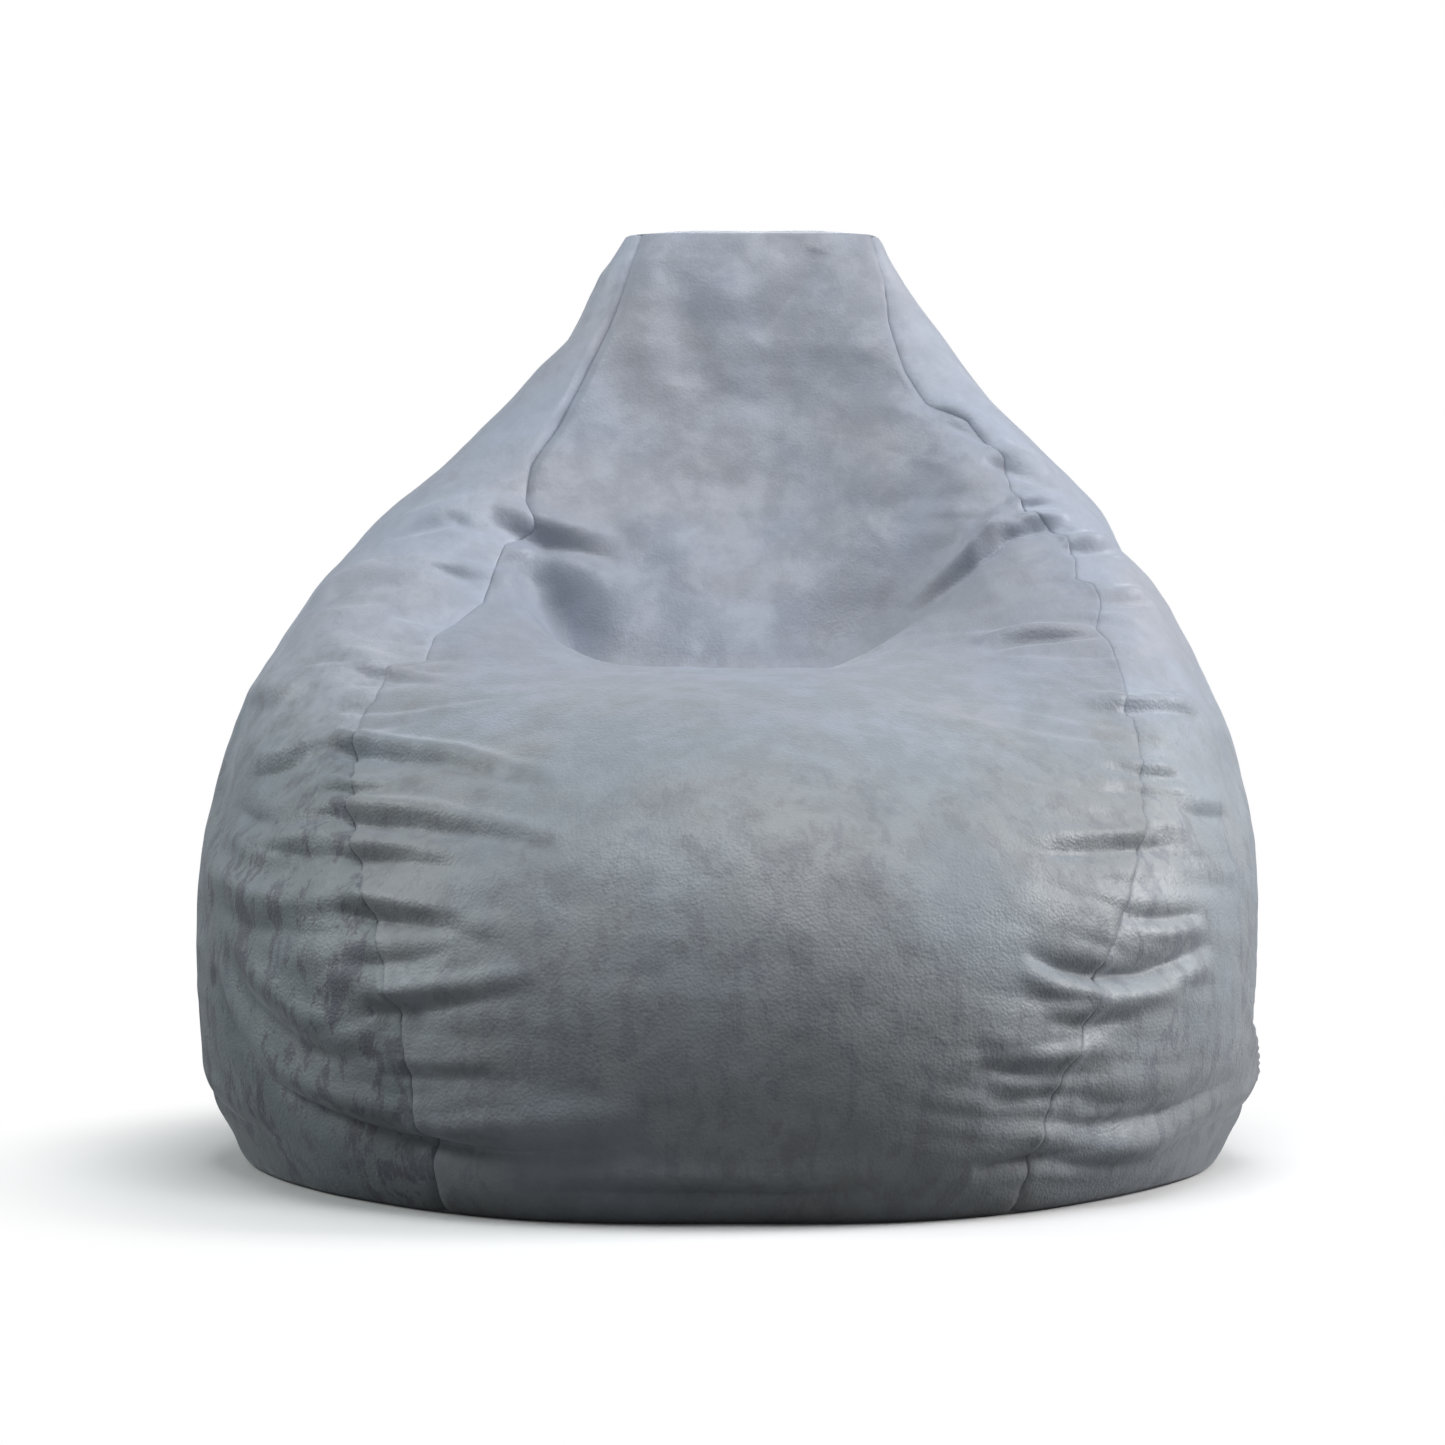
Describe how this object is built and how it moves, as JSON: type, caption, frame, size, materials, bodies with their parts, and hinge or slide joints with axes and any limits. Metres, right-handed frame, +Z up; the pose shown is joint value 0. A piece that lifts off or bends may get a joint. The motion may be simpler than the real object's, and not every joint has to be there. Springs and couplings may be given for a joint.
{
  "type": "bean bag chair",
  "caption": "Pear-shaped bean bag chair: a soft sewn velvet cover with a raised backrest and a seat hollow, zipped at the back, over a zipped liner full of beads.",
  "frame": {"origin": "middle of the footprint's bounding box, on the floor", "axes": "+Z up, -Y the way the sitter faces, +X to the sitter's left, which is the right-hand side seen from the front"},
  "size_m": [0.944, 0.9321, 0.8571],
  "materials": {
    "cover_velvet": "grey-blue microsuede velvet, short pile, cloudy where the nap turns",
    "seam_binding": "woven binding over the seam allowance, matte",
    "seam_thread": "polyester sewing thread, slight lustre",
    "zip_tape": "woven polyester tape, matte",
    "zip_teeth": "moulded plastic, satin",
    "zip_metal": "die-cast zinc, enamelled, satin",
    "label_satin": "blank white satin ribbon",
    "liner_cloth": "thin white polyester cloth, matte",
    "liner_zip_tape": "woven polyester tape, matte",
    "liner_zip_plastic": "moulded plastic, satin",
    "beads": "expanded polystyrene beads, matte white"
  },
  "bodies": {
    "bag": {"front_panel": "cover_velvet", "left_side_panel": "cover_velvet", "right_side_panel": "cover_velvet", "back_left_panel": "cover_velvet", "back_right_panel": "cover_velvet", "top_cap_panel": "cover_velvet", "base_panel": "cover_velvet", "seam_binding_front_left": "seam_binding", "seam_binding_front_right": "seam_binding", "seam_binding_back_left": "seam_binding", "seam_binding_back_right": "seam_binding", "seam_binding_centre_back_upper": "seam_binding", "seam_binding_centre_back_lower": "seam_binding", "seam_binding_top_cap": "seam_binding", "seam_binding_base": "seam_binding", "seam_thread_front_left": "seam_thread", "seam_thread_front_right": "seam_thread", "seam_thread_back_left": "seam_thread", "seam_thread_back_right": "seam_thread", "seam_thread_centre_back_upper": "seam_thread", "seam_thread_centre_back_lower": "seam_thread", "zip_tape_left": "zip_tape", "zip_tape_right": "zip_tape", "zip_teeth_left": "zip_teeth", "zip_teeth_right": "zip_teeth", "zip_top_stops": "zip_teeth", "zip_bottom_stops": "zip_teeth", "care_label": "label_satin", "liner_bag": "liner_cloth", "liner_zip_tape_front": "liner_zip_tape", "liner_zip_tape_rear": "liner_zip_tape", "liner_zip_teeth_front": "liner_zip_plastic", "liner_zip_teeth_rear": "liner_zip_plastic", "liner_zip_start_stops": "liner_zip_plastic", "liner_zip_end_stops": "liner_zip_plastic", "bead_fill": "beads"},
    "zip_slider": {"zip_slider": "zip_metal"},
    "zip_pull": {"zip_pull_tab": "zip_metal"},
    "liner_slider": {"liner_zip_slider": "liner_zip_plastic"}
  },
  "joints": [
    {"name": "zip_slider_travel", "type": "hinge", "parent": "bag", "child": "zip_slider", "pos_m": [0, -0.434, 0.225], "axis": [-1, 0, 0], "range_deg": [0, 23.35]},
    {"name": "zip_pull_flip", "type": "hinge", "parent": "zip_slider", "child": "zip_pull", "pos_m": [0, 0.43396, 0.47166], "axis": [1, 0, 0], "range_deg": [0, 165]},
    {"name": "liner_zip_travel", "type": "slide", "parent": "bag", "child": "liner_slider", "axis": [1, 0, 0], "range_m": [0, 0.393]}
  ]
}
